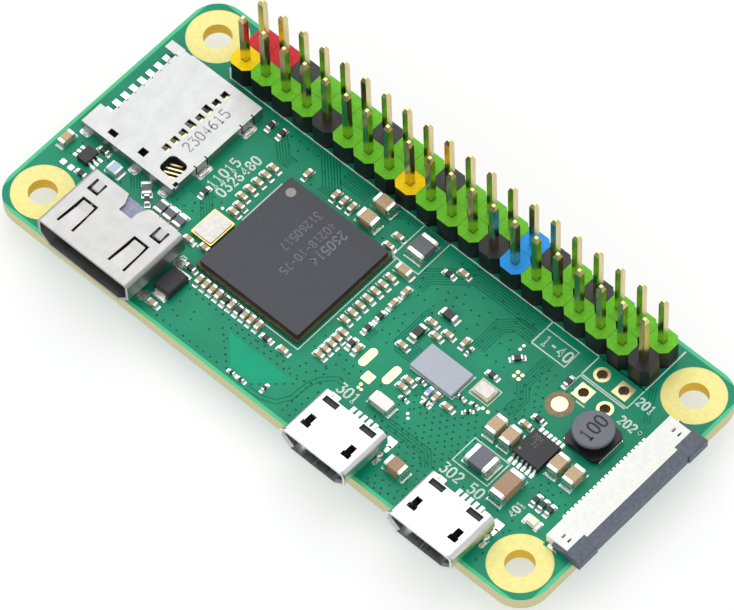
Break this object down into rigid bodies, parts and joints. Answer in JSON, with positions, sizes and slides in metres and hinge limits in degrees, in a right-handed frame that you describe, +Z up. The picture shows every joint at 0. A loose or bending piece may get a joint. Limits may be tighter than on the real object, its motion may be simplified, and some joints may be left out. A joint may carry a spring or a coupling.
{
  "type": "single board computer",
  "caption": "Bare single board computer with a colour-topped 40-pin header, card socket, three ports, ribbon connector and stacked processor and memory.",
  "frame": {"origin": "centre of the rectangle of four mounting holes, on the board's underside", "axes": "+X along the board to the ribbon connector, +Y to the pin header, +Z up, out of the component side"},
  "size_m": [0.0658, 0.0314, 0.012],
  "materials": {
    "laminate": "satin",
    "solder_mask": "gloss",
    "gold_plate": "polished",
    "pin_gold": "polished",
    "header_plastic": "matte",
    "solder": "satin",
    "shell_steel": "satin",
    "black_plastic": "matte",
    "contact_plate": "polished",
    "tinned_metal": "satin",
    "capacitor_ceramic": "matte",
    "resistor_black": "gloss",
    "ferrite_grey": "matte",
    "white_ceramic": "matte",
    "ivory_plastic": "matte",
    "latch_plastic": "matte",
    "mould_compound": "matte",
    "silicon": "satin",
    "copper": "polished",
    "lens": "gloss"
  },
  "bodies": {
    "board": {"card_present_springs": "gold_plate", "card_socket_base": "black_plastic", "card_socket_contacts": "contact_plate", "card_socket_cover": "shell_steel", "ceramic_filter_bodies": "white_ceramic", "ceramic_filter_ends": "tinned_metal", "choke_bodies": "ferrite_grey", "choke_ends": "tinned_metal", "data_port_contacts": "contact_plate", "data_port_shell": "shell_steel", "data_port_tongue": "black_plastic", "diode_body": "mould_compound", "diode_leads": "tinned_metal", "header_body": "header_plastic", "header_pins": "pin_gold", "header_solder": "solder", "indicator_carrier": "white_ceramic", "indicator_ends": "tinned_metal", "indicator_lens": "lens", "inductor_core": "ferrite_grey", "inductor_feet": "tinned_metal", "inductor_winding": "copper", "large_capacitor_bodies": "capacitor_ceramic", "large_capacitor_ends": "tinned_metal", "main_crystal_base": "white_ceramic", "main_crystal_lid": "tinned_metal", "memory_package": "mould_compound", "memory_solder_balls": "solder", "pcb_laminate": "laminate", "plated_barrels": "gold_plate", "power_port_contacts": "contact_plate", "power_port_shell": "shell_steel", "power_port_tongue": "black_plastic", "processor_package": "mould_compound", "processor_solder_balls": "solder", "radio_chip": "silicon", "radio_chip_solder_balls": "solder", "radio_crystal_base": "white_ceramic", "radio_crystal_lid": "tinned_metal", "regulator_body": "mould_compound", "regulator_leads": "tinned_metal", "resistor_array_bodies": "ferrite_grey", "resistor_array_ends": "tinned_metal", "resistor_bodies": "resistor_black", "resistor_ends": "tinned_metal", "ribbon_connector_body": "ivory_plastic", "ribbon_contacts": "contact_plate", "ribbon_hold_downs": "tinned_metal", "six_lead_chip_body": "mould_compound", "six_lead_chip_leads": "tinned_metal", "small_capacitor_bodies": "capacitor_ceramic", "small_capacitor_ends": "tinned_metal", "solder_mask_bottom": "solder_mask", "solder_mask_top": "solder_mask", "video_port_contacts": "contact_plate", "video_port_insulator": "black_plastic", "video_port_shell": "shell_steel"},
    "latch": {"ribbon_latch": "latch_plastic"}
  },
  "joints": [
    {"name": "latch_slide", "type": "slide", "parent": "board", "child": "latch", "axis": [1, 0, 0], "range_m": [0, 0.0012]}
  ]
}
